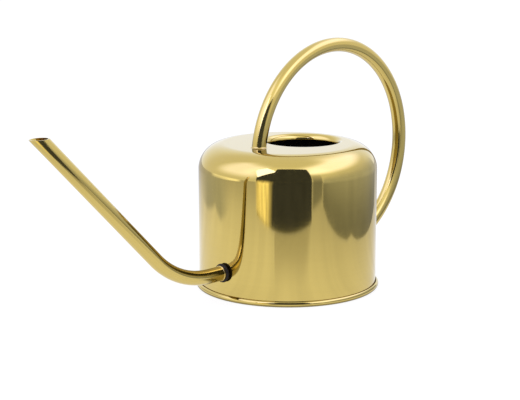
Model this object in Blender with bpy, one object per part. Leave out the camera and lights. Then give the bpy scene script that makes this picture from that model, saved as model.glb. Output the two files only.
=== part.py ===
"""Watering can: a drawn can body with a turned-down fill mouth, a tube handle and a screw-in spout.

Units are metres. The frame has +Z up and +X out along the spout, and the handle is at -X.
The origin is where the can's axis meets the surface that it stands on.
Run with: blender --background --python part.py
"""

import math

import bmesh
import bpy
from mathutils import Matrix, Vector

MM = 0.001

# Fits
GAP = 0.3 * MM  # between pieces that touch, braze or seal against each other
THREAD_CLEARANCE = 0.25 * MM  # radial, between the spout's thread and the socket's
CUT_MERGE = 0.005 * MM

# Can body
BODY_RADIUS = 62.5 * MM
BODY_HEIGHT = 101.5 * MM
SHOULDER_RADIUS = 18.0 * MM
SHEET = 0.7 * MM
FOOT_FLARE = 0.5 * MM  # how far the wall's lower edge is set outwards inside the hem

# Fill mouth, turned down through the flat top
MOUTH_RADIUS = 24.8 * MM
MOUTH_LIP_RADIUS = 4.0 * MM
MOUTH_DEPTH = 4.5 * MM
MOUTH_MARGIN = 0.8 * MM  # flat metal left between the mouth and the shoulder

# Base
HEM_RADIUS = 2.05 * MM  # of the round bead in which base and wall are rolled together
BASE_RECESS = 1.2 * MM
BASE_RING_WIDTH = 4.6 * MM
BASE_STEP_WIDTH = 1.6 * MM
SEAL_LEG = 2.0 * MM

# Handle
HANDLE_TUBE_RADIUS = 5.0 * MM
HANDLE_WALL = 1.0 * MM
HANDLE_ARC_RADIUS = 75.0 * MM
HANDLE_REAR_HEIGHT = 18.1 * MM
HANDLE_MOUTH_SPACE = 9.5 * MM  # between the fill mouth's lip and the handle's front foot
WELD_LEG = 1.2 * MM

# Spout tube
SPOUT_TUBE_RADIUS = 5.0 * MM
SPOUT_WALL = 0.8 * MM
SPOUT_HEIGHT = 19.4 * MM  # of the joint's axis above the surface
SPOUT_BEND_START = 14.1 * MM  # out from the can's wall
SPOUT_BEND_RADIUS = 67.0 * MM
SPOUT_RISE = math.radians(45.0)
SPOUT_STRAIGHT = 129.0 * MM  # along the centre line, from the bend to the mouth

# Screwed joint of the spout
THREAD_RADIUS = 4.0 * MM
THREAD_PITCH = 1.25 * MM
THREAD_DEPTH = 0.65 * MM
THREAD_CREST = 0.16 * MM  # flat width at the top of the thread
THREAD_ROOT = 0.32 * MM  # flat width at the bottom of the thread
THREAD_OVERCUT = 0.12 * MM  # how far the form that cuts a thread stands clear of the metal
STUD_BORE_RADIUS = 2.5 * MM
STUD_REACH = 8.5 * MM  # inwards from the outside of the can's wall
STUD_CHAMFER = 0.5 * MM
STUD_RELIEF = 1.8 * MM  # plain neck beside the stud's collar
STUD_COLLAR = 1.0 * MM
COLLAR_CHAMFER = 0.4 * MM
STUD_SHANK = 8.0 * MM  # length brazed inside the spout tube
RING_THICKNESS = 2.5 * MM
RING_WIDTH = 2.2 * MM
SOCKET_RADIUS = 7.0 * MM
SOCKET_LENGTH = 7.5 * MM
SOCKET_CHAMFER = 0.6 * MM

# Facets of the round shapes
BODY_FACETS = 64
MOUTH_FACETS = 40
SHOULDER_STEPS = 6
HEM_STEPS = 6
LIP_STEPS = 6
FILLET_STEPS = 3
TUBE_FACETS = 16
HANDLE_STEPS = 34
BEND_STEPS = 7
THREAD_FACETS = 18
RING_FACETS = 24
RING_SECTION_FACETS = 10

# Places that follow from the sizes above
FLAT_RADIUS = BODY_RADIUS - SHOULDER_RADIUS
MOUTH_X = -(FLAT_RADIUS - MOUTH_MARGIN - MOUTH_LIP_RADIUS - MOUTH_RADIUS)
HANDLE_FOOT_X = (
    MOUTH_X + MOUTH_RADIUS + MOUTH_LIP_RADIUS + HANDLE_MOUTH_SPACE + HANDLE_TUBE_RADIUS
)
RING_START = GAP
COLLAR_START = RING_START + RING_THICKNESS + GAP
COLLAR_END = COLLAR_START + STUD_COLLAR
COLLAR_RADIUS = THREAD_RADIUS + GAP + RING_WIDTH / 2.0  # presses the middle of the ring
SPOUT_START = COLLAR_END + GAP
SHANK_END = COLLAR_END + STUD_SHANK
SOCKET_INNER = -(SHEET + GAP + SOCKET_LENGTH)

GOLD = (0.72, 0.55, 0.27)
BRAZE = (0.66, 0.52, 0.28)
TURNED_BRASS = (0.76, 0.58, 0.26)
SEALANT = (0.45, 0.42, 0.36)
BLACK_RUBBER = (0.012, 0.012, 0.013)


def clear_scene():
    for obj in list(bpy.data.objects):
        bpy.data.objects.remove(obj, do_unlink=True)


def principled(name, colour, metallic, roughness):
    material = bpy.data.materials.new(name)
    material.use_nodes = True
    shader = material.node_tree.nodes["Principled BSDF"]
    shader.inputs["Base Color"].default_value = (*colour, 1.0)
    shader.inputs["Metallic"].default_value = metallic
    shader.inputs["Roughness"].default_value = roughness
    return material


def add_object(name, bm, parent=None):
    """Turns a finished bmesh into an object whose faces point outwards."""
    bmesh.ops.recalc_face_normals(bm, faces=bm.faces)
    mesh = bpy.data.meshes.new(name)
    bm.to_mesh(mesh)
    bm.free()
    mesh.shade_smooth()
    mesh.set_sharp_from_angle(angle=math.radians(35.0))
    obj = bpy.data.objects.new(name, mesh)
    bpy.context.scene.collection.objects.link(obj)
    obj.parent = parent
    return obj


def add_part(name, bm, colour, metallic=1.0, roughness=0.3, parent=None):
    obj = add_object(name, bm, parent)
    obj.data.materials.append(principled(name, colour, metallic, roughness))
    return obj


def add_cutter(name, bm, parent=None):
    obj = add_object(name, bm, parent)
    obj.hide_render = True
    obj.display_type = "WIRE"
    return obj


def boolean(obj, operation, other):
    modifier = obj.modifiers.new(f"{operation.lower()} {other.name}", "BOOLEAN")
    modifier.operation = operation
    modifier.solver = "EXACT"
    modifier.object = other


def weld_cut_edges(obj):
    """Merges the doubled points that cuts leave where two facets' edges cross."""
    modifier = obj.modifiers.new("weld", "WELD")
    modifier.merge_threshold = CUT_MERGE


def arc(centre_r, centre_h, radius, start, end, steps):
    """Points (r, h) round a centre from one angle to another, both in degrees from +r."""
    angles = [math.radians(start + (end - start) * i / steps) for i in range(steps + 1)]
    return [(centre_r + radius * math.cos(a), centre_h + radius * math.sin(a)) for a in angles]


def turned(profile, facets, along="Z"):
    """Solid of a closed outline of (radius, height) points, spun once about the Z or the X axis."""
    bm = bmesh.new()
    if along == "Z":
        points = [Vector((r, 0.0, h)) for r, h in profile]
        axis = Vector((0.0, 0.0, 1.0))
    else:
        points = [Vector((h, 0.0, r)) for r, h in profile]
        axis = Vector((1.0, 0.0, 0.0))
    verts = [bm.verts.new(point) for point in points]
    edges = [bm.edges.new((verts[i - 1], verts[i])) for i in range(len(verts))]
    bmesh.ops.spin(
        bm, geom=verts + edges, cent=(0, 0, 0), axis=axis, angle=math.tau, steps=facets, use_merge=True
    )
    bmesh.ops.remove_doubles(bm, verts=bm.verts, dist=0.001 * MM)
    bmesh.ops.dissolve_degenerate(bm, edges=bm.edges, dist=0.0001 * MM)
    return bm


def annulus(bm, outer, inner, matrix):
    """Flat ring of faces between two circles, ready to extrude or spin into a hollow tube."""
    rims = []
    for radius in (outer, inner):
        circle = bmesh.ops.create_circle(bm, segments=TUBE_FACETS, radius=radius, matrix=matrix)
        rims += list({edge for vert in circle["verts"] for edge in vert.link_edges})
    return bmesh.ops.bridge_loops(bm, edges=rims)["faces"]


def body_outline(grow):
    """Outline of the can's filled outer form down to its lower edge, moved outwards by grow."""
    foot = SHEET + GAP
    outline = [(0.0, foot)]
    outline.append((BODY_RADIUS + FOOT_FLARE * 0.8 + grow, foot))
    outline.append((BODY_RADIUS + FOOT_FLARE + grow, foot + 0.5 * SHEET))
    outline.append((BODY_RADIUS + grow, foot + 2.0 * SHEET))
    outline += arc(
        FLAT_RADIUS, BODY_HEIGHT - SHOULDER_RADIUS, SHOULDER_RADIUS + grow, 0, 90, SHOULDER_STEPS
    )
    outline.append((0.0, BODY_HEIGHT + grow))
    return outline


def cavity_outline(grow):
    """Outline of the space inside the sheet, open at the can's lower edge."""
    inner = BODY_RADIUS - SHEET + grow
    return (
        [(0.0, -SHEET), (inner, -SHEET)]
        + arc(
            FLAT_RADIUS,
            BODY_HEIGHT - SHOULDER_RADIUS,
            SHOULDER_RADIUS - SHEET + grow,
            0,
            90,
            SHOULDER_STEPS,
        )
        + [(0.0, BODY_HEIGHT - SHEET + grow)]
    )


def mouth_form(radius, lip, top, bottom):
    """Plug that fills the fill mouth and flares into the top with a lip of the given radius."""
    flare = arc(radius + lip, top - lip, lip, 180, 90, LIP_STEPS)
    outline = [(0.0, bottom), (radius, bottom)] + flare
    outline += [(radius + lip, top + SHEET), (0.0, top + SHEET)]
    bm = turned(outline, MOUTH_FACETS)
    bmesh.ops.translate(bm, verts=bm.verts, vec=(MOUTH_X, 0.0, 0.0))
    return bm


def make_body():
    """Can body, one drawn sheet: wall, shoulder, flat top and the collar of the fill mouth."""
    body = add_part("body_shell", turned(body_outline(0.0), BODY_FACETS), GOLD, roughness=0.32)
    cavity = add_cutter("cavity_form", turned(cavity_outline(0.0), BODY_FACETS))
    collar_bottom = BODY_HEIGHT - MOUTH_DEPTH
    inner_lip = MOUTH_LIP_RADIUS - SHEET
    collar = mouth_form(MOUTH_RADIUS + SHEET, inner_lip, BODY_HEIGHT - SHEET, collar_bottom)
    boolean(cavity, "DIFFERENCE", add_cutter("collar_form", collar))
    boolean(body, "DIFFERENCE", cavity)
    hole = mouth_form(MOUTH_RADIUS, MOUTH_LIP_RADIUS, BODY_HEIGHT, collar_bottom - MOUTH_DEPTH)
    boolean(body, "DIFFERENCE", add_cutter("mouth_form", hole))
    port_radius = THREAD_RADIUS + GAP
    port = [(0.0, -STUD_REACH), (port_radius, -STUD_REACH)]
    port += [(port_radius, STUD_REACH), (0.0, STUD_REACH)]
    port_form = add_cutter("port_form", turned(port, TUBE_FACETS, "X"), SPOUT_AXIS)
    boolean(body, "DIFFERENCE", port_form)
    weld_cut_edges(body)


def make_base():
    """Base pan: recessed disc with a flat standing ring and an edge rolled round the wall's foot."""
    inner_hem = HEM_RADIUS - SHEET
    hem_end = math.degrees(math.acos((GAP + 0.1 * SHEET) / inner_hem))
    step_outer = BODY_RADIUS - BASE_RING_WIDTH
    step_inner = step_outer - BASE_STEP_WIDTH
    outline = [(0.0, BASE_RECESS), (step_inner, BASE_RECESS), (step_outer, 0.0)]
    outline += arc(BODY_RADIUS, HEM_RADIUS, HEM_RADIUS, -90, hem_end, HEM_STEPS)
    outline += arc(BODY_RADIUS, HEM_RADIUS, inner_hem, hem_end, -90, HEM_STEPS)
    shift = 0.25 * SHEET  # keeps the sloping step as thick as the sheet
    outline += [(step_outer + shift, SHEET), (step_inner + shift, BASE_RECESS + SHEET)]
    outline.append((0.0, BASE_RECESS + SHEET))
    add_part("base_pan", turned(outline, BODY_FACETS), GOLD, roughness=0.34)


def make_base_seal():
    """Fillet of sealing compound inside the can, in the corner between wall and base."""
    outer = BODY_RADIUS - SHEET - GAP
    floor = SHEET + GAP
    outline = [(outer, floor)]
    outline += arc(outer - SEAL_LEG, floor + SEAL_LEG, SEAL_LEG, 0, -90, FILLET_STEPS)
    outline[1] = (outer, floor + SEAL_LEG)
    add_part("base_seam_seal", turned(outline, BODY_FACETS), SEALANT, metallic=0.0, roughness=0.6)


def handle_circle():
    """Centre of the handle's arc, and the angles at which it meets the wall and the top."""
    rear = Vector((-BODY_RADIUS, HANDLE_REAR_HEIGHT))
    front = Vector((HANDLE_FOOT_X, BODY_HEIGHT))
    chord = front - rear
    offset = math.sqrt(HANDLE_ARC_RADIUS**2 - (chord.length / 2.0) ** 2)
    across = Vector((-chord.y, chord.x)).normalized()
    centre = (rear + front) / 2.0 + across * offset
    front_angle = math.atan2(front.y - centre.y, front.x - centre.x)
    rear_angle = math.atan2(rear.y - centre.y, rear.x - centre.x) % math.tau
    return centre, front_angle, rear_angle


def on_handle(centre, angle):
    """Matrix at a point of the handle's centre line: +Z along the arc, +X away from its centre."""
    turn = Matrix.Rotation(-angle, 4, "Y")
    reach = Matrix.Translation((HANDLE_ARC_RADIUS, 0.0, 0.0))
    return Matrix.Translation((centre.x, 0.0, centre.y)) @ turn @ reach


def weld_fillet(base):
    """Ring with a hollow fillet outside, round a tube that stands on the plane at height 0."""
    inner = HANDLE_TUBE_RADIUS + GAP
    outline = [(inner, -base), (inner + WELD_LEG, -base)]
    outline += arc(inner + WELD_LEG, WELD_LEG + GAP, WELD_LEG, -90, -180, FILLET_STEPS)
    return turned(outline, TUBE_FACETS)


def make_handle():
    """Handle, one bent tube, brazed to the flat top in front and to the wall behind."""
    centre, front_angle, rear_angle = handle_circle()
    skin = add_cutter("skin_form", turned(body_outline(GAP), BODY_FACETS))
    inside = 2.6 * HANDLE_TUBE_RADIUS / HANDLE_ARC_RADIUS  # angle that each end runs into the can
    start = front_angle - inside
    bm = bmesh.new()
    matrix = on_handle(centre, start)
    section = annulus(bm, HANDLE_TUBE_RADIUS, HANDLE_TUBE_RADIUS - HANDLE_WALL, matrix)
    bmesh.ops.spin(
        bm,
        geom=section,
        cent=(centre.x, 0.0, centre.y),
        axis=(0.0, -1.0, 0.0),
        angle=rear_angle + inside - start,
        steps=HANDLE_STEPS,
    )
    handle = add_part("handle_tube", bm, GOLD, roughness=0.24)
    boolean(handle, "DIFFERENCE", skin)
    weld_cut_edges(handle)
    for name, angle, turn in (
        ("handle_front_weld", front_angle, 0.0),
        ("handle_rear_weld", rear_angle, math.pi),
    ):
        weld = add_part(name, weld_fillet(HANDLE_TUBE_RADIUS), BRAZE, roughness=0.4)
        weld.matrix_world = on_handle(centre, angle) @ Matrix.Rotation(turn, 4, "X")
        boolean(weld, "DIFFERENCE", skin)
        weld_cut_edges(weld)


def faces_of(geometry):
    return [item for item in geometry if isinstance(item, bmesh.types.BMFace)]


def run_straight(bm, section, step):
    """Extrudes the open end of a tube along a vector, and returns its new end."""
    grown = bmesh.ops.extrude_face_region(bm, geom=section)["geom"]
    moved = [item for item in grown if isinstance(item, bmesh.types.BMVert)]
    bmesh.ops.translate(bm, verts=moved, vec=step)
    return faces_of(grown)


def make_spout():
    """Spout, one bent tube whose mouth is cut level."""
    bm = bmesh.new()
    outlet = Matrix.Translation((SPOUT_START, 0.0, 0.0)) @ Matrix.Rotation(math.pi / 2, 4, "Y")
    section = annulus(bm, SPOUT_TUBE_RADIUS, SPOUT_TUBE_RADIUS - SPOUT_WALL, outlet)
    bend_start = run_straight(bm, section, Vector((SPOUT_BEND_START - SPOUT_START, 0.0, 0.0)))
    bent = bmesh.ops.spin(
        bm,
        geom=bend_start,
        cent=(SPOUT_BEND_START, 0.0, SPOUT_BEND_RADIUS),
        axis=(0.0, -1.0, 0.0),
        angle=SPOUT_RISE,
        steps=BEND_STEPS,
    )
    bend_end = faces_of(bent["geom_last"])
    rise = Vector((math.cos(SPOUT_RISE), 0.0, math.sin(SPOUT_RISE)))
    run_straight(bm, bend_end, rise * (SPOUT_STRAIGHT + 2.0 * SPOUT_TUBE_RADIUS))
    bmesh.ops.delete(bm, geom=bend_start + bend_end, context="FACES_ONLY")
    spout = add_part("spout_tube", bm, GOLD, roughness=0.24, parent=SPOUT_AXIS)

    end_x = SPOUT_BEND_START + SPOUT_BEND_RADIUS * math.sin(SPOUT_RISE) + SPOUT_STRAIGHT * rise.x
    end_z = SPOUT_BEND_RADIUS * (1.0 - math.cos(SPOUT_RISE)) + SPOUT_STRAIGHT * rise.z
    block = 6.0 * SPOUT_TUBE_RADIUS
    bm = bmesh.new()
    bmesh.ops.create_cube(
        bm, size=block, matrix=Matrix.Translation((end_x, 0.0, end_z + block / 2.0))
    )
    boolean(spout, "DIFFERENCE", add_cutter("mouth_cut_form", bm, SPOUT_AXIS))


def make_ring():
    """Black rubber O-ring, squeezed between the can's wall and the collar of the spout's stud."""
    inner = THREAD_RADIUS + GAP
    middle = inner + RING_WIDTH / 2.0
    outline = []
    for step in range(RING_SECTION_FACETS):
        angle = math.tau * step / RING_SECTION_FACETS
        across = middle + RING_WIDTH / 2.0 * math.cos(angle)
        outline.append((across, RING_START + RING_THICKNESS / 2.0 * (1.0 + math.sin(angle))))
    bm = turned(outline, RING_FACETS, "X")
    add_part("spout_o_ring", bm, BLACK_RUBBER, 0.0, 0.35, parent=SPOUT_AXIS)


def thread_form(inner, outer, narrow, wide, narrow_is_outer, start, length):
    """Closed helical bar along +X, right-handed, that cuts one thread's groove."""
    inner_width = wide if narrow_is_outer else narrow
    outer_width = narrow if narrow_is_outer else wide
    bm = bmesh.new()
    verts = [
        bm.verts.new((start - inner_width / 2.0, 0.0, inner)),
        bm.verts.new((start + inner_width / 2.0, 0.0, inner)),
        bm.verts.new((start + outer_width / 2.0, 0.0, outer)),
        bm.verts.new((start - outer_width / 2.0, 0.0, outer)),
    ]
    face = bm.faces.new(verts)
    steps = round(THREAD_FACETS * length / THREAD_PITCH)
    bmesh.ops.spin(
        bm,
        geom=[face],
        cent=(0.0, 0.0, 0.0),
        axis=(1.0, 0.0, 0.0),
        dvec=(THREAD_PITCH / THREAD_FACETS, 0.0, 0.0),
        angle=math.tau * steps / THREAD_FACETS,
        steps=steps,
    )
    return bm


def make_stud():
    """Turned stud brazed into the spout tube: shank, collar that presses the ring, and thread."""
    tip = -STUD_REACH
    root = THREAD_RADIUS - THREAD_DEPTH
    neck = root - 0.1 * MM
    shank = SPOUT_TUBE_RADIUS - SPOUT_WALL - GAP
    outline = [
        (STUD_BORE_RADIUS, tip),
        (THREAD_RADIUS - STUD_CHAMFER, tip),
        (THREAD_RADIUS, tip + STUD_CHAMFER),
        (THREAD_RADIUS, COLLAR_START - STUD_RELIEF),
        (neck, COLLAR_START - STUD_RELIEF),
        (neck, COLLAR_START),
        (COLLAR_RADIUS, COLLAR_START),
        (COLLAR_RADIUS, COLLAR_END - COLLAR_CHAMFER),
        (COLLAR_RADIUS - COLLAR_CHAMFER, COLLAR_END),
        (shank, COLLAR_END),
        (shank, SHANK_END),
        (STUD_BORE_RADIUS, SHANK_END),
    ]
    bm = turned(outline, THREAD_FACETS, "X")
    stud = add_part("spout_stud", bm, TURNED_BRASS, roughness=0.28, parent=SPOUT_AXIS)
    groove_top = THREAD_PITCH - THREAD_CREST
    spread = (groove_top - THREAD_ROOT) / THREAD_DEPTH
    height = THREAD_DEPTH + THREAD_OVERCUT
    start = tip - THREAD_PITCH / 2.0
    length = COLLAR_START - STUD_RELIEF / 2.0 - start
    groove = thread_form(
        root,
        root + height,
        THREAD_ROOT,
        THREAD_ROOT + spread * height,
        False,
        start,
        length,
    )
    boolean(stud, "DIFFERENCE", add_cutter("stud_thread_form", groove, SPOUT_AXIS))
    weld_cut_edges(stud)


def make_socket():
    """Threaded socket welded inside the wall, and the weld round it."""
    inside = add_cutter("inside_form", turned(cavity_outline(-GAP), BODY_FACETS))
    bore = THREAD_RADIUS - THREAD_DEPTH + THREAD_CLEARANCE
    outline = [
        (bore, SOCKET_INNER),
        (SOCKET_RADIUS - SOCKET_CHAMFER, SOCKET_INNER),
        (SOCKET_RADIUS, SOCKET_INNER + SOCKET_CHAMFER),
        (SOCKET_RADIUS, 0.0),
        (bore, 0.0),
    ]
    bm = turned(outline, THREAD_FACETS, "X")
    socket = add_part("spout_socket", bm, TURNED_BRASS, roughness=0.3, parent=SPOUT_AXIS)
    boolean(socket, "INTERSECT", inside)
    ridge_base = THREAD_PITCH - THREAD_ROOT
    spread = (ridge_base - THREAD_CREST) / THREAD_DEPTH
    height = THREAD_DEPTH + THREAD_OVERCUT
    start = -STUD_REACH - THREAD_PITCH
    start += THREAD_PITCH * math.floor((SOCKET_INNER - THREAD_PITCH - start) / THREAD_PITCH)
    length = -start + THREAD_PITCH / 2.0
    groove = thread_form(
        THREAD_RADIUS + THREAD_CLEARANCE - height,
        THREAD_RADIUS + THREAD_CLEARANCE,
        THREAD_CREST,
        THREAD_CREST + spread * height,
        True,
        start,
        length,
    )
    boolean(socket, "DIFFERENCE", add_cutter("socket_thread_form", groove, SPOUT_AXIS))
    weld_cut_edges(socket)

    inner = SOCKET_RADIUS + GAP
    wall = -(SHEET + GAP)
    outline = [(inner, 0.0), (inner, wall - WELD_LEG)]
    outline += arc(inner + WELD_LEG, wall - WELD_LEG, WELD_LEG, 180, 90, FILLET_STEPS)
    outline.append((inner + WELD_LEG, 0.0))
    outline = list(dict.fromkeys(outline))
    weld = add_part("spout_socket_weld", turned(outline, THREAD_FACETS, "X"), BRAZE, 1.0, 0.4, SPOUT_AXIS)
    boolean(weld, "INTERSECT", inside)
    weld_cut_edges(weld)


clear_scene()
SPOUT_AXIS = bpy.data.objects.new("spout_axis", None)
SPOUT_AXIS.location = (BODY_RADIUS, 0.0, SPOUT_HEIGHT)
bpy.context.scene.collection.objects.link(SPOUT_AXIS)
make_body()
make_base()
make_base_seal()
make_handle()
make_spout()
make_ring()
make_stud()
make_socket()
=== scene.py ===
"""Looks of the brass watering can: its pieces, finishes, camera and studio, round the CAD frame.

Sizes are in millimetres and become metres where a mesh is made. +Z is up, and the spout points
along +X.
"""

import math

import bmesh
import bpy
from mathutils import Matrix, Vector


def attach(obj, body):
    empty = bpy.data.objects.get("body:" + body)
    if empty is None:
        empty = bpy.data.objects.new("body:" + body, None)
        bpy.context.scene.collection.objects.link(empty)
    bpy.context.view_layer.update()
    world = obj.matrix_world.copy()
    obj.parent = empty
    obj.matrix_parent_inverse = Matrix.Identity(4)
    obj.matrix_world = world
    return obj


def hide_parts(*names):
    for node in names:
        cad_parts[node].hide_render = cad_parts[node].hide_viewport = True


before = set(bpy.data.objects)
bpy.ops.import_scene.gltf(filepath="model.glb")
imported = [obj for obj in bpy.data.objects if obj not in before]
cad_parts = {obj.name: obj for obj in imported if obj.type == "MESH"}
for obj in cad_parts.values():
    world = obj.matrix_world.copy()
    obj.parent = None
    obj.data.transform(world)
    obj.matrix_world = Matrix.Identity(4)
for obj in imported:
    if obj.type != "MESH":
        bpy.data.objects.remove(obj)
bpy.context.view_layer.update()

# ---------------------------------------------------------------------------------------------
# Camera. It looks slightly down at the can from in front, with the spout towards the left of
# the view. It is a long lens at about a metre, so upright lines stay upright.

camera = bpy.data.objects.new("camera", bpy.data.cameras.new("camera"))
camera.location = (0.7782, 0.7463, 0.2902)
camera.rotation_euler = (math.radians(77.973), 0.0, math.radians(134.83))
camera.data.lens = 108.49
camera.data.sensor_width = 36.0
camera.data.clip_end = 60.0
bpy.context.scene.collection.objects.link(camera)
bpy.context.scene.camera = camera
bpy.context.scene.view_settings.view_transform = "Standard"

# ---------------------------------------------------------------------------------------------
# Studio. A white table under an even white sky, so the can stands in soft light with almost no
# shadow. What the polished metal mirrors is set out round it: dark and grey flags that stand on
# the table, a warm card, and brighter soft boxes in the sky.

VIEW_TURN = math.radians(43.8)  # from +X round to the side that the camera stands on
FRONT = Vector((math.cos(VIEW_TURN), math.sin(VIEW_TURN), 0.0))
RIGHT = Vector((-math.sin(VIEW_TURN), math.cos(VIEW_TURN), 0.0))
MM = 0.001


class Wire:
    """An output of a shader node. Arithmetic on it adds the Math nodes that work it out."""

    def __init__(self, tree, socket=None):
        self.tree = tree
        self.socket = socket

    def node(self, kind, settings=(), inputs=(), output=0):
        """Adds a node: its settings are set first, then its sockets' values or wires."""
        made = self.tree.nodes.new("ShaderNode" + kind)
        for name, value in dict(settings).items():
            setattr(made, name, value)
        for name, value in dict(inputs).items():
            if isinstance(value, Wire):
                self.tree.links.new(value.socket, made.inputs[name])
            else:
                made.inputs[name].default_value = value
        return Wire(self.tree, made.outputs[output] if made.outputs else None)

    def maths(self, operation, *values):
        return self.node("Math", {"operation": operation}, dict(enumerate(values)))

    def __add__(self, other):
        return self.maths("ADD", self, other)

    def __sub__(self, other):
        return self.maths("SUBTRACT", self, other)

    def __rsub__(self, other):
        return self.maths("SUBTRACT", other, self)

    def __mul__(self, other):
        return self.maths("MULTIPLY", self, other)

    def __truediv__(self, other):
        return self.maths("DIVIDE", self, other)

    def root(self):
        return self.maths("SQRT", self)

    __radd__ = __add__
    __rmul__ = __mul__

    def rise(self, low, high):
        """0 below low, 1 above high, and a smooth slope between them. High may be the lower one."""
        settings = {"interpolation_type": "SMOOTHSTEP"}
        inputs = {"Value": self, "From Min": low, "From Max": high, "To Min": 0.0, "To Max": 1.0}
        return self.node("MapRange", settings, inputs)

    def blend(self, colour_a, colour_b):
        """One colour where this is 0, the other where it is 1. A Mix node has a pair of sockets
        for each kind of value; its colours are sockets 6 and 7, and come out at 2."""
        return self.node("Mix", {"data_type": "RGBA"}, {0: self, 6: colour_a, 7: colour_b}, 2)

    def noise(self, scale, detail):
        """Soft noise, 0 to 1, at a place."""
        return self.node("TexNoise", (), {"Vector": self, "Scale": scale, "Detail": detail})

    def bump(self, strength, depth):
        """The normal of a surface on which this is the height, in parts of a depth in mm."""
        inputs = {"Strength": strength, "Distance": depth * MM, "Height": self}
        return self.node("Bump", (), inputs)

    def dot(self, direction):
        inputs = {0: self, 1: direction}
        return self.node("VectorMath", {"operation": "DOT_PRODUCT"}, inputs, "Value")

    def point(self, *parts):
        """A vector from its x, y and z."""
        return self.node("CombineXYZ", (), dict(enumerate(parts)))

    def split(self):
        parts = self.node("SeparateXYZ", (), {0: self}).socket.node
        return [Wire(self.tree, socket) for socket in parts.outputs]

    def place(self):
        """Where a point of the surface is, in metres from the object's origin."""
        return self.node("TexCoord", (), (), "Object")

    def surface(self, inputs):
        """Ends a material in one surface shader."""
        shader = self.node("BsdfPrincipled", (), inputs)
        self.node("OutputMaterial", (), {"Surface": shader})


def empty_tree(owner):
    owner.use_nodes = True
    owner.node_tree.nodes.clear()
    return Wire(owner.node_tree)


def new_material(name):
    material = bpy.data.materials.new(name)
    return material, empty_tree(material)


def rgb(red, green, blue):
    return (red, green, blue, 1.0)


TWICE_MIRRORED_LOSS = 0.45


def twice_dimmed(tree):
    """1 for light mirrored once, and less for light mirrored from metal to metal."""
    twice = tree.node("LightPath", (), (), "Glossy Depth").rise(1.4, 1.6)
    return 1.0 - TWICE_MIRRORED_LOSS * twice


world = bpy.data.worlds.new("studio_sky")
bpy.context.scene.world = world
sky = empty_tree(world)
direction = sky.node("TexCoord", (), (), "Generated")
front = direction.dot(FRONT)
right = direction.dot(RIGHT)
up = direction.dot((0.0, 0.0, 1.0))
level_part = (1.0 - up * up).root()
left_box = (direction.dot(FRONT * 0.31 - RIGHT * 0.95) / level_part).rise(0.74, 0.98)
left_box = left_box * up.rise(0.08, 0.46) * (1.0 - up.rise(0.82, 0.97))
right_box = right.rise(0.10, 0.50) * up.rise(0.40, 0.66) * (1.0 - up.rise(0.85, 0.98))
front_box = front.rise(0.2, 0.5) * up.rise(0.35, 0.6) * (1.0 - up.rise(0.85, 0.98))
backdrop = (0.0 - front).rise(0.55, 0.9) * (1.0 - up.rise(0.75, 0.9))
mirrored = 0.95 + 0.70 * left_box + 0.95 * right_box + 0.25 * front_box + 0.14 * backdrop
tint = backdrop.blend(rgb(1.0, 1.0, 1.0), rgb(1.0, 1.04, 1.12))
tint = (left_box + right_box).blend(tint, rgb(0.97, 1.0, 1.55))
seen = sky.node("LightPath", (), (), "Is Glossy Ray")
strength = seen * (mirrored * twice_dimmed(sky) - 1.0) + 1.0
glow = sky.node("Background", (), {"Color": tint, "Strength": strength})
sky.node("OutputWorld", (), {"Surface": glow})


def stage_object(name, bm, material):
    mesh = bpy.data.meshes.new(name)
    bm.to_mesh(mesh)
    bm.free()
    mesh.materials.append(material)
    obj = bpy.data.objects.new(name, mesh)
    bpy.context.scene.collection.objects.link(obj)
    return obj


def table_white():
    """Matt white that glows a little, so its shadow is faint. Metal mirrors it with painted light:
    greyer far out, in faint radial streaks, and with a painted contact shadow round the can's foot.
    """
    material, tree = new_material("table_white")
    place = tree.place()
    centre = {0: place, 1: RIGHT * -0.10}
    away = tree.node("VectorMath", {"operation": "DISTANCE"}, centre, "Value")
    # Painted light: the glow that the metal mirrors dims away from the lamps.
    painted_light_falloff = 1.0 - 0.50 * away.rise(0.08, 0.50)
    x, y, _ = place.split()
    reach = (x * x + y * y).root()
    # Painted reflection: faint radial streaks in the glow, which the brushed wall mirrors as
    # upright bands.
    painted_reflection_streaks = tree.point(x / reach * 4.5, y / reach * 4.5).noise(1.0, 2.0).rise(0.25, 0.75)
    greys = rgb(0.19, 0.19, 0.19), rgb(0.21, 0.21, 0.21)
    # Painted contact shadow: the glow that the metal mirrors is darker just round the can's foot.
    painted_contact_shadow = 1.0 - 0.65 * reach.rise(0.0690, 0.0645)
    level = painted_light_falloff * (0.92 + 0.16 * painted_reflection_streaks) * painted_contact_shadow * twice_dimmed(tree)
    mirrored = tree.node("LightPath", (), (), "Is Glossy Ray")
    dimmed = mirrored * (1.0 - level)
    tree.surface({
        "Base Color": place.noise(3.0, 2.0).blend(*greys),
        "Roughness": 0.9,
        "Specular IOR Level": 0.0,
        "Emission Color": dimmed.blend(rgb(1.0, 1.0, 1.0), rgb(0.0, 0.0, 0.0)),
        "Emission Strength": 0.86,
    })
    return material


TABLE_HALF_WIDTH = 12000.0
bm = bmesh.new()
bmesh.ops.create_grid(bm, x_segments=1, y_segments=1, size=TABLE_HALF_WIDTH * MM)
stage_object("table", bm, table_white())


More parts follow.
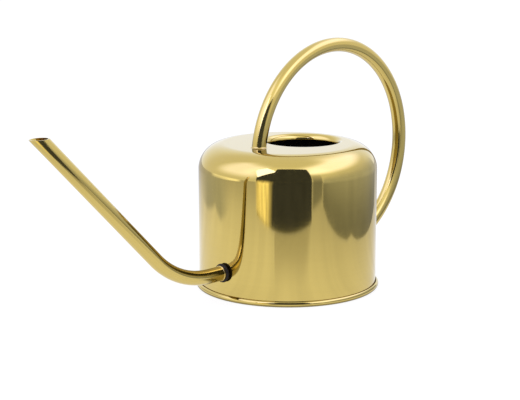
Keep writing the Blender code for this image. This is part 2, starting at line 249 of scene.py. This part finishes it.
def card_glow(name, colour, strength, fades, mottle):
    """A card's glow. It fades out towards its lower edge, its upper edge and its sides."""
    material, tree = new_material(name)
    across, upward, _ = tree.node("UVMap", {"uv_map": "card"}).split()
    foot, top, side = (max(fade, 0.001) for fade in fades)
    shown = upward.rise(0.0, foot) * upward.rise(1.0, 1.0 - top)
    shown = shown * across.rise(0.0, side) * across.rise(1.0, 1.0 - side)
    clear = tree.node("BsdfTransparent")
    patches = tree.point(across * 9.0, upward * 2.0).noise(1.0, 3.0).rise(0.3, 0.7)
    darker = rgb(*(channel * (1.0 - mottle) for channel in colour))
    lighter = rgb(*(channel * (1.0 + mottle) for channel in colour))
    colours = patches.blend(darker, lighter)
    glow = tree.node("Emission", (), {"Color": colours, "Strength": strength})
    shader = tree.node("MixShader", (), {0: shown, 1: clear, 2: glow})
    tree.node("OutputMaterial", (), {"Surface": shader})
    return material


def card(name, low, high, colour, strength, fades=(0.0, 0.0, 0.0), mottle=0.03):
    """A card between two rows of points, each (front, right, up) from the middle of the can's base.

    Fades are the parts of its height and width over which its lower edge, upper edge and sides
    fade out. Only the metal's reflections show it.
    """
    bm = bmesh.new()
    verts = [bm.verts.new(FRONT * front + RIGHT * right) for front, right, _ in low]
    edges = [bm.edges.new(pair) for pair in zip(verts, verts[1:])]
    bmesh.ops.extrude_edge_only(bm, edges=edges)
    layer = bm.loops.layers.uv.new("card")
    for column, vert in enumerate(verts):
        ends = [edge.other_vert(vert) for edge in vert.link_edges]
        top = next(end for end in ends if end not in verts)
        for row, (point, corner) in enumerate(((low[column], vert), (high[column], top))):
            corner.co = (FRONT * point[0] + RIGHT * point[1] + Vector((0.0, 0.0, point[2]))) * MM
            for loop in corner.link_loops:
                loop[layer].uv = (column / (len(verts) - 1), row)
    made = stage_object(name, bm, card_glow(name, colour, strength, fades, mottle))
    made.visible_camera = False
    made.visible_diffuse = False
    made.visible_shadow = False
    made.visible_transmission = False
    made.visible_volume_scatter = False


def upright(feet, low, high):
    """The two rows of points of an upright card over (front, right) points on the table."""
    return [(*point, low) for point in feet], [(*point, high) for point in feet]


DARK = (0.84, 0.94, 1.35)
COOL = (0.95, 1.0, 1.12)
WHITE = (1.0, 1.0, 1.0)
WARM = (1.0, 0.90, 0.58)
LAMP_WHITE = (1.0, 1.05, 1.9)
FLAG_FRONT = 277  # how far in front of the can the dark flag stands
FLAG_RIGHT = 145  # and where its right edge is
DARK_TOP = 100  # height at which its upright part ends, and its other two parts begin
DARK_LEVEL = 0.065
DARK_MOTTLE = 0.12
FOOT = 0.5  # how far a standing card is clear of the table

# The dark flag: an upright board, a part that leans in over the can, and a wedge to its left.
feet = ((FLAG_FRONT, -200), (FLAG_FRONT, FLAG_RIGHT))
card("flag_dark", *upright(feet, FOOT, DARK_TOP), DARK, DARK_LEVEL, mottle=DARK_MOTTLE)
low = ((FLAG_FRONT, -100, DARK_TOP), (FLAG_FRONT, FLAG_RIGHT, DARK_TOP))
high = ((128, -31, 213), (128, 59, 213))
card("flag_dark_lean", low, high, DARK, DARK_LEVEL, mottle=DARK_MOTTLE)
low = ((FLAG_FRONT, -206, DARK_TOP), (FLAG_FRONT, -60, DARK_TOP))
high = ((FLAG_FRONT, -206, 184), (FLAG_FRONT, -70, 328))
card("flag_dark_wedge", low, high, DARK, DARK_LEVEL, mottle=DARK_MOTTLE)

# A warm card that covers the dark flag's left part, and a lamp's white face above it.
low = ((270, -214, 1), (256, -76, 1))
high = ((274, -214, 142), (274, -64, 130))
card("card_gold", low, high, WARM, 1.45, (0.06, 0.60, 0.30), 0.30)
low = ((276, -275, 400), (276, -198, 186), (276, -76, 325))
high = ((276, -275, 470), (276, -198, 560), (276, -76, 340))
card("card_bright", low, high, LAMP_WHITE, 2.6)

# A thin grey flag right of the dark one, and the dark flag's shade on the table.
feet = ((300, 157), (306, 276))
card("flag_thin", *upright(feet, FOOT, 330), COOL, 0.30, (0.03, 0.85, 0.16))
low = ((78, -15, FOOT), (78, 27, FOOT))
high = ((FLAG_FRONT, -74, FOOT), (FLAG_FRONT, FLAG_RIGHT, FOOT))
card("table_shade", low, high, WHITE, 0.62, (0.99, 0.0, 0.12))

# Curved grey flags at the can's right and left, and a bright card far out at the left. The right
# flag has a darker lower part and a paler part that stands just behind it.
lobes = ((300, 262), (204, 228), (128, 217), (74, 217), (46, 238))
lobes += ((10, 218), (-55, 211), (-134, 205), (-240, 203))
card("flag_right", *upright(lobes, FOOT, 78), COOL, 0.28, (0.0, 0.9, 0.04), 0.06)
behind = [(front + 3, right + 3) for front, right in lobes]
card("flag_right_tall", *upright(behind, 1.0, 200), COOL, 0.60, (0.0, 0.6, 0.04), 0.06)
lobes = ((-260, -240), (-180, -250), (-119, -266), (-60, -300), (-40, -318))
lobes += ((0, -286), (25, -271), (70, -290), (130, -345))
card("flag_left", *upright(lobes, FOOT, 110), COOL, 0.58, (0.08, 0.8, 0.30))
feet = ((-250, -640), (420, -640))
card("card_left_far", *upright(feet, 1.0, 110), WHITE, 1.6, (0.1, 0.3, 0.2))

# ---------------------------------------------------------------------------------------------
# Can body. One sheet of brass, spun to a straight wall, a round shoulder and a flat top, with
# the fill mouth turned down through the top. Outside it is brushed round and lacquered; inside
# it is unlacquered and rough, and its near-black colour is painted shade. Its lower edge is set
# out into the base's rolled hem.

BODY_TURNS = 192
SHEET = 0.7
FOOT_FLARE = 0.5
BODY_RADIUS = 62.5
BODY_HEIGHT = 101.5
SHOULDER = 18.0
MOUTH_X = -14.9
MOUTH_RADIUS = 24.8
MOUTH_LIP = 4.0
MOUTH_DEPTH = 4.5
SPOUT_HEIGHT = 19.4
PORT_RADIUS = 4.3
PORT_CUT = 9.0  # how far the form that cuts the port reaches on each side of the wall
PORT_SIDES = 48
SHARP = math.radians(35.0)  # edges that turn by more than this stay crisp
SPOUT_PLACE = Matrix.Translation(Vector((BODY_RADIUS, 0.0, SPOUT_HEIGHT)) * MM)
SPOUT_PLACE = SPOUT_PLACE @ Matrix.Rotation(math.pi / 2.0, 4, "Y")


def bow(centre_r, centre_h, radius, start, end, steps):
    """Points (radius, height) round a centre, from one angle to another in degrees."""
    turns = [math.radians(start + (end - start) * i / steps) for i in range(steps + 1)]
    return [(centre_r + radius * math.cos(a), centre_h + radius * math.sin(a)) for a in turns]


POLE_MERGE = 0.0005


def spun(bm, outline, turns, place=None, closed=False):
    """Spins an outline of (radius, height) points once round +Z, then puts it in its place."""
    before = set(bm.verts)
    verts = [bm.verts.new((r * MM, 0.0, h * MM)) for r, h in outline]
    edges = [bm.edges.new(pair) for pair in zip(verts, verts[1:])]
    if closed:
        edges.append(bm.edges.new((verts[-1], verts[0])))
    bmesh.ops.spin(
        bm, geom=verts + edges, axis=(0, 0, 1), angle=math.tau, steps=turns, use_merge=True
    )
    made = [vert for vert in bm.verts if vert not in before]
    bmesh.ops.remove_doubles(bm, verts=made, dist=POLE_MERGE * MM)
    made = [vert for vert in bm.verts if vert not in before]
    if place:
        bmesh.ops.transform(bm, matrix=place, verts=made)
    return made


def piece(name, bm, materials, body=None, node=None):
    """Makes a finished mesh an object with its materials, what it rides on, and the CAD node it
    stands for.
    """
    bmesh.ops.recalc_face_normals(bm, faces=bm.faces)
    mesh = bpy.data.meshes.new(name)
    bm.to_mesh(mesh)
    bm.free()
    for material in materials:
        mesh.materials.append(material)
    mesh.shade_smooth()
    mesh.set_sharp_from_angle(angle=SHARP)
    obj = bpy.data.objects.new(name, mesh)
    bpy.context.scene.collection.objects.link(obj)
    if body:
        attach(obj, body)
        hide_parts(node)
    return obj


def fix_shape(obj):
    """Applies the modifiers, so that the piece's own mesh is its finished shape."""
    graph = bpy.context.evaluated_depsgraph_get()
    mesh = bpy.data.meshes.new_from_object(obj.evaluated_get(graph))
    obj.modifiers.clear()
    obj.data = mesh
    mesh.shade_smooth()
    mesh.set_sharp_from_angle(angle=SHARP)


def cut_away(obj, bm):
    """Cuts a closed form out of a piece."""
    former = piece(obj.name + "_former", bm, [])
    cut = obj.modifiers.new("cut", "BOOLEAN")
    cut.operation = "DIFFERENCE"
    cut.solver = "EXACT"
    cut.object = former
    fix_shape(obj)
    bpy.data.objects.remove(former)


BRASS = rgb(0.648, 0.490, 0.120)
BRASS_AGED = rgb(0.590, 0.438, 0.102)
TOOL_MARK_DEPTH = 0.02
SATIN_ROUGHNESS = 0.065


def lacquered_brass(streaks, strength, roughness, aged=BRASS_AGED, colour=BRASS, grain=()):
    """Brass under clear lacquer. The streaks, 0 to 1, are the finishing tool's marks."""
    cloud = streaks.place().noise(38.0, 3.0)
    tone = (cloud - 0.5) * 0.30 + (streaks - 0.5) * 0.55 + 0.5
    inputs = {
        "Base Color": tone.rise(0.0, 1.0).blend(aged, colour),
        "Metallic": 1.0,
        "Roughness": roughness + 0.04 * (streaks - 0.5) + 0.03 * (cloud - 0.5),
        "Normal": streaks.bump(strength, TOOL_MARK_DEPTH),
        "Coat Weight": 1.0,
        "Coat Roughness": 0.04,
        "Coat IOR": 1.5,
        "Specular Tint": rgb(0.85, 0.80, 0.62),
    }
    inputs.update(dict(grain))
    streaks.surface(inputs)


def brushed_round(name, strength):
    """Satin brass, brushed round the can's axis with a fine belt while the can turned."""
    material, tree = new_material(name)
    x, y, z = tree.place().split()
    reach = (x * x + y * y).root()
    lift = z - reach
    fine = tree.point(x / reach * 1.6, y / reach * 1.6, lift * 1900.0).noise(1.0, 2.0)
    bands = tree.point(x / reach * 0.7, y / reach * 0.7, lift * 320.0).noise(1.0, 1.0)
    satin = {"Anisotropic": 0.65, "Anisotropic Rotation": 0.25}
    lacquered_brass(fine * 0.65 + bands * 0.35, strength, SATIN_ROUGHNESS, grain=satin)
    return material


def dark_shaded_inside():
    """The unlacquered metal inside, rough because nothing polishes it there. Its near-black colour
    is painted shade for the dark inside of the can, in blotches of random tone.
    """
    material, tree = new_material("brass_inside_painted_shade")
    stain = tree.place().noise(90.0, 5.0)
    # Both colours are near black: painted shade for the dark inside of the can.
    painted_shade_deeper = rgb(0.060, 0.045, 0.024)
    painted_shade_paler = rgb(0.10, 0.075, 0.036)
    tree.surface({
        "Base Color": stain.rise(0.3, 0.7).blend(painted_shade_deeper, painted_shade_paler),
        "Metallic": 0.8,
        "Roughness": 0.6 + 0.15 * stain,
        "Normal": stain.bump(0.2, 0.1),
    })
    return material


satin_brass = brushed_round("satin_brass", 0.05)
# The inside's near-black colour is painted shade.
inside_brass = dark_shaded_inside()

bm = bmesh.new()
wall = [(BODY_RADIUS + 0.4, 1.0), (BODY_RADIUS + FOOT_FLARE, 1.3), (BODY_RADIUS + 0.4, 1.7)]
wall += [(BODY_RADIUS + 0.15, 2.1), (BODY_RADIUS, 2.6)]
wall += [(BODY_RADIUS, height) for height in (5.0, 12.0, 27.0, 45.0, 65.0)]
shoulder = bow(BODY_RADIUS - SHOULDER, BODY_HEIGHT - SHOULDER, SHOULDER, 0, 90, 30)
spun(bm, wall + shoulder + [(BODY_RADIUS - SHOULDER - 0.3, BODY_HEIGHT)], BODY_TURNS)
lip = bow(MOUTH_RADIUS + MOUTH_LIP, BODY_HEIGHT - MOUTH_LIP, MOUTH_LIP, 90, 180, 16)
lip = [(MOUTH_RADIUS + MOUTH_LIP + 0.2, BODY_HEIGHT)] + lip
lip.append((MOUTH_RADIUS, BODY_HEIGHT - MOUTH_DEPTH))
spun(bm, lip, BODY_TURNS, Matrix.Translation((MOUTH_X * MM, 0.0, 0.0)))
top_plane = (BODY_HEIGHT - 0.01) * MM
rims = [edge for edge in bm.edges if edge.is_boundary]
rims = [edge for edge in rims if min(vert.co.z for vert in edge.verts) > top_plane]
bmesh.ops.bridge_loops(bm, edges=rims)
can = piece("can_body", bm, [satin_brass, inside_brass], "can", "body_shell")
sheet = can.modifiers.new("sheet", "SOLIDIFY")
sheet.thickness = SHEET * MM
sheet.offset = -1.0
sheet.material_offset = 1
fix_shape(can)
bm = bmesh.new()
outline = [(0.0, -PORT_CUT), (PORT_RADIUS, -PORT_CUT), (PORT_RADIUS, PORT_CUT), (0.0, PORT_CUT)]
spun(bm, outline, PORT_SIDES, SPOUT_PLACE)
cut_away(can, bm)

# ---------------------------------------------------------------------------------------------
# Base pan. A pressed disc with a raised middle, so that the can stands on a flat ring, and an
# edge rolled round the wall's foot into a round bead. It is brushed and lacquered as the body.

HEM = 2.05  # the bead's radius
HEM_END = 73.0  # how far up and over the bead is rolled, in degrees above level
RECESS = 1.2
RING_INSIDE = 60.0

base_brass = brushed_round("base_brass", 0.04)
outline = [(0.0, RECESS), (38.0, RECESS), (55.9, RECESS), (56.5, 1.1)]
outline += [(57.5, 0.15), (58.1, 0.0), (RING_INSIDE, 0.0)]
outline += bow(BODY_RADIUS, HEM, HEM, -90, HEM_END, 28)
outline += bow(BODY_RADIUS, HEM, HEM - SHEET, HEM_END, -90, 20)
outline += [(RING_INSIDE, SHEET), (58.3, SHEET), (57.7, 0.85)]
outline += [(56.7, 1.8), (56.1, RECESS + SHEET), (0.0, RECESS + SHEET)]
bm = bmesh.new()
spun(bm, outline, BODY_TURNS)
piece("base_pan_rolled", bm, [base_brass], "can", "base_pan")

# ---------------------------------------------------------------------------------------------
# Seam compound. A soft tan sealing paste run into the corner between wall and base, inside the
# can, and smoothed with a wet finger.

GAP = 0.3  # left between the compound and the metal
SEAL_LEG = 2.0
SEAL_FOOT = SHEET + GAP
SEAL_OUTER = BODY_RADIUS - SHEET - GAP


def sealing_paste():
    material, tree = new_material("sealing_paste")
    lumps = tree.place().noise(260.0, 3.0)
    tree.surface({
        "Base Color": lumps.blend(rgb(0.33, 0.30, 0.24), rgb(0.45, 0.42, 0.34)),
        "Roughness": 0.5 + 0.2 * lumps,
        "Normal": lumps.bump(0.4, 0.2),
    })
    return material


bm = bmesh.new()
outline = [(SEAL_OUTER, SEAL_FOOT), (SEAL_OUTER, SEAL_FOOT + SEAL_LEG)]
outline += bow(SEAL_OUTER - SEAL_LEG, SEAL_FOOT + SEAL_LEG, SEAL_LEG, 0, -90, 10)[1:]
spun(bm, outline, BODY_TURNS, closed=True)
piece("seam_compound_bead", bm, [sealing_paste()], "can", "base_seam_seal")

# ---------------------------------------------------------------------------------------------
# Handle. One brass tube bent to most of a circle, polished along its length and lacquered. Its
# front end stands on the flat top and its rear end meets the wall; both are brazed.

TUBE_SIDES = 48
TUBE = 5.0
HANDLE_WALL = 1.0
HANDLE_ARC = 75.0
HANDLE_FOOT_X = 28.4
HANDLE_REAR_HEIGHT = 18.1
END_CLEARANCE = 0.02
rear = Vector((-BODY_RADIUS, HANDLE_REAR_HEIGHT))
foot = Vector((HANDLE_FOOT_X, BODY_HEIGHT))
chord = foot - rear
offset = math.sqrt(HANDLE_ARC**2 - (chord.length / 2.0) ** 2)
arc_centre = (rear + foot) / 2.0 + Vector((-chord.y, chord.x)).normalized() * offset
foot_turn = math.atan2(foot.y - arc_centre.y, foot.x - arc_centre.x)
rear_turn = math.atan2(rear.y - arc_centre.y, rear.x - arc_centre.x) % math.tau


def tube_end(bm, outer, inner, place):
    """Flat ring at a tube's end, ready to be spun or drawn out."""
    rims = []
    for radius in (outer, inner):
        made = bmesh.ops.create_circle(bm, segments=TUBE_SIDES, radius=radius * MM, matrix=place)
        rims += list({edge for vert in made["verts"] for edge in vert.link_edges})
    return bmesh.ops.bridge_loops(bm, edges=rims)["faces"]


BELT_LINES = 900.0  # lines in a metre across the tube


def drawn_bright(across):
    """Polished brass tube with faint lines along its length, left by the polishing belt."""
    lacquered_brass(across.noise(1.0, 2.0) * 0.4 + 0.3, 0.004, 0.13)


def handle_brass():
    material, tree = new_material("polished_handle")
    x, y, z = tree.place().split()
    x = x - arc_centre.x * MM
    z = z - arc_centre.y * MM
    reach = (x * x + z * z).root()
    across = (x / reach * 2.0, z / reach * 2.0 + y * BELT_LINES, reach * BELT_LINES)
    drawn_bright(tree.point(*across))
    return material


polished_handle = handle_brass()
overlap = 2.6 * TUBE / HANDLE_ARC  # drawn on into the can at each end, then cut away
start_turn = foot_turn - overlap
centre = Vector((arc_centre.x, 0.0, arc_centre.y)) * MM
place = Matrix.Translation(centre) @ Matrix.Rotation(-start_turn, 4, "Y")
place = place @ Matrix.Translation((HANDLE_ARC * MM, 0.0, 0.0))
bm = bmesh.new()
end = tube_end(bm, TUBE, TUBE - HANDLE_WALL, place)
bend = rear_turn + overlap - start_turn
bmesh.ops.spin(bm, geom=end, cent=centre, axis=(0, -1, 0), angle=bend, steps=150)
handle = piece("handle_bow", bm, [polished_handle], "can", "handle_tube")
bm = bmesh.new()
side = BODY_RADIUS + END_CLEARANCE
top = BODY_HEIGHT + END_CLEARANCE
spun(bm, [(0.0, -5.0), (side, -5.0), (side, top), (0.0, top)], BODY_TURNS)
cut_away(handle, bm)

# ---------------------------------------------------------------------------------------------
# Brazing at the handle's ends. Brass filler drawn round each joint into a small hollow fillet,
# then dressed and lacquered over with the rest.

FILLET = 1.2
FILLET_SINK = 0.05  # into the sheet, so that no light shows under it


def brazed():
    """Filler metal, a shade paler and less even than the tube, from hand dressing."""
    material, tree = new_material("braze_fillet")
    ripple = tree.place().noise(700.0, 3.0)
    lacquered_brass(ripple, 0.06, 0.24, rgb(0.52, 0.37, 0.10), rgb(0.64, 0.48, 0.13))
    return material


braze_metal = brazed()


def fillet_ring(lean):
    """Hollow fillet round a tube that leans by an angle from +Z, standing on the plane at 0."""
    bm = bmesh.new()
    outline = bow(TUBE + FILLET, FILLET, FILLET, -90, -180, 10)
    inner = TUBE - 0.3
    outline += [(inner, FILLET), (inner, -FILLET_SINK), (TUBE + FILLET, -FILLET_SINK)]
    spun(bm, outline, TUBE_SIDES, closed=True)
    slant = Matrix.Identity(4)
    slant[0][0] = 1.0 / math.cos(lean)
    slant[0][2] = math.tan(lean)
    bmesh.ops.transform(bm, matrix=slant, verts=bm.verts)
    return bm


bm = fillet_ring(-foot_turn)
bmesh.ops.translate(bm, verts=bm.verts, vec=Vector((foot.x, 0.0, foot.y)) * MM)
piece("front_braze_fillet", bm, [braze_metal], "can", "handle_front_weld")
bm = fillet_ring(math.pi * 1.5 - rear_turn)
bmesh.ops.rotate(bm, verts=bm.verts, matrix=Matrix.Rotation(-math.pi / 2.0, 3, "Y"))
bmesh.ops.translate(bm, verts=bm.verts, vec=Vector((rear.x, 0.0, rear.y)) * MM)
for vert in bm.verts:
    vert.co.x += BODY_RADIUS * MM - math.sqrt((BODY_RADIUS * MM) ** 2 - vert.co.y**2)
piece("rear_braze_fillet", bm, [braze_metal], "can", "handle_rear_weld")

# ---------------------------------------------------------------------------------------------
# Spout. One long brass tube, bent once and cut level at its mouth, polished and lacquered as the
# handle. Its lower end is brazed over the threaded stud.

SPOUT_START = 4.1
BEND_START = 14.1
BEND_RADIUS = 67.0
RISE = math.radians(45.0)
STRAIGHT = 129.0
SPOUT_WALL = 0.8
MOUTH_BEVEL = 0.18


def spout_brass():
    material, tree = new_material("polished_spout")
    scale = (12.0, BELT_LINES, BELT_LINES)
    turned = {"Vector": tree.place(), "Rotation": (0.0, RISE, 0.0), "Scale": scale}
    drawn_bright(tree.node("Mapping", (), turned))
    return material


def drawn_out(bm, end, step):
    """Draws a tube's end out along a step, and returns its new end."""
    grown = bmesh.ops.extrude_face_region(bm, geom=end)["geom"]
    moved = [item for item in grown if isinstance(item, bmesh.types.BMVert)]
    bmesh.ops.translate(bm, verts=moved, vec=step)
    return [item for item in grown if isinstance(item, bmesh.types.BMFace)]


polished_spout = spout_brass()
bm = bmesh.new()
start_place = SPOUT_PLACE @ Matrix.Translation((0.0, 0.0, SPOUT_START * MM))
end = tube_end(bm, TUBE, TUBE - SPOUT_WALL, start_place)
bend_foot = drawn_out(bm, end, Vector(((BEND_START - SPOUT_START) * MM, 0.0, 0.0)))
bend_centre = Vector((BODY_RADIUS + BEND_START, 0.0, SPOUT_HEIGHT + BEND_RADIUS)) * MM
bent = bmesh.ops.spin(
    bm, geom=bend_foot, cent=bend_centre, axis=(0, -1, 0), angle=RISE, steps=40
)["geom_last"]
bend_top = [item for item in bent if isinstance(item, bmesh.types.BMFace)]
rise = Vector((math.cos(RISE), 0.0, math.sin(RISE)))
drawn_out(bm, bend_top, rise * (STRAIGHT + 2.0 * TUBE) * MM)
bmesh.ops.delete(bm, geom=bend_foot + bend_top, context="FACES_ONLY")
mouth_height = SPOUT_HEIGHT + BEND_RADIUS * (1.0 - math.cos(RISE)) + STRAIGHT * rise.z
cut = bmesh.ops.bisect_plane(
    bm,
    geom=bm.verts[:] + bm.edges[:] + bm.faces[:],
    plane_co=(0.0, 0.0, mouth_height * MM),
    plane_no=(0.0, 0.0, 1.0),
    clear_outer=True,
)["geom_cut"]
rims = [item for item in cut if isinstance(item, bmesh.types.BMEdge)]
bmesh.ops.bridge_loops(bm, edges=rims)
bmesh.ops.bevel(
    bm, geom=rims, offset=MOUTH_BEVEL * MM, segments=2, profile=0.5, affect="EDGES", material=-1
)
piece("spout_pipe", bm, [polished_spout], "spout", "spout_tube")

# ---------------------------------------------------------------------------------------------
# O-ring. Black rubber, pressed between the can's wall and the collar of the spout's stud, so
# that the screwed joint doesn't leak.

RING_INNER = 4.3
RING_WIDTH = 2.2
RING_THICK = 2.5
RING_MIDDLE = 1.6  # how far its middle is out from the can's wall
RING_TURNS = 96


def black_rubber():
    material, tree = new_material("black_rubber")
    grain = tree.place().noise(2200.0, 2.0)
    tree.surface({
        "Base Color": grain.blend(rgb(0.010, 0.007, 0.006), rgb(0.020, 0.014, 0.011)),
        "Roughness": 0.42 + 0.12 * grain,
        "Specular IOR Level": 0.22,
        "Normal": grain.bump(0.1, 0.02),
    })
    return material


bm = bmesh.new()
half_width = RING_WIDTH / 2.0
half_thick = RING_THICK / 2.0
section = bow(0.0, 0.0, 1.0, 0, 360, 32)[:-1]
middle = RING_INNER + half_width
outline = [(middle + half_width * r, RING_MIDDLE + half_thick * h) for r, h in section]
spun(bm, outline, RING_TURNS, SPOUT_PLACE, closed=True)
piece("rubber_o_ring", bm, [black_rubber()], "seal_ring", "spout_o_ring")

# ---------------------------------------------------------------------------------------------
# Stud, socket and the socket's weld. Turned brass: the stud is brazed into the spout, and the
# socket is welded inside the wall. They keep the CAD's own shapes.


def lathe_brass():
    """Bare turned brass with the fine rings that a lathe tool leaves round its axis."""
    material, tree = new_material("lathe_brass")
    place = tree.place()
    along = place.split()[0]
    rings = along.maths("SINE", along * 12000.0) * 0.5 + 0.5
    stain = place.noise(400.0, 2.0)
    tree.surface({
        "Base Color": stain.blend(rgb(0.55, 0.40, 0.13), rgb(0.70, 0.53, 0.19)),
        "Metallic": 1.0,
        "Roughness": 0.22 + 0.15 * stain,
        "Normal": rings.bump(0.3, 0.01),
    })
    return material


turned_brass = lathe_brass()
for node, material in (
    ("spout_stud", turned_brass),
    ("spout_socket", turned_brass),
    ("spout_socket_weld", braze_metal),
):
    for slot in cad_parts[node].material_slots:
        slot.material = material
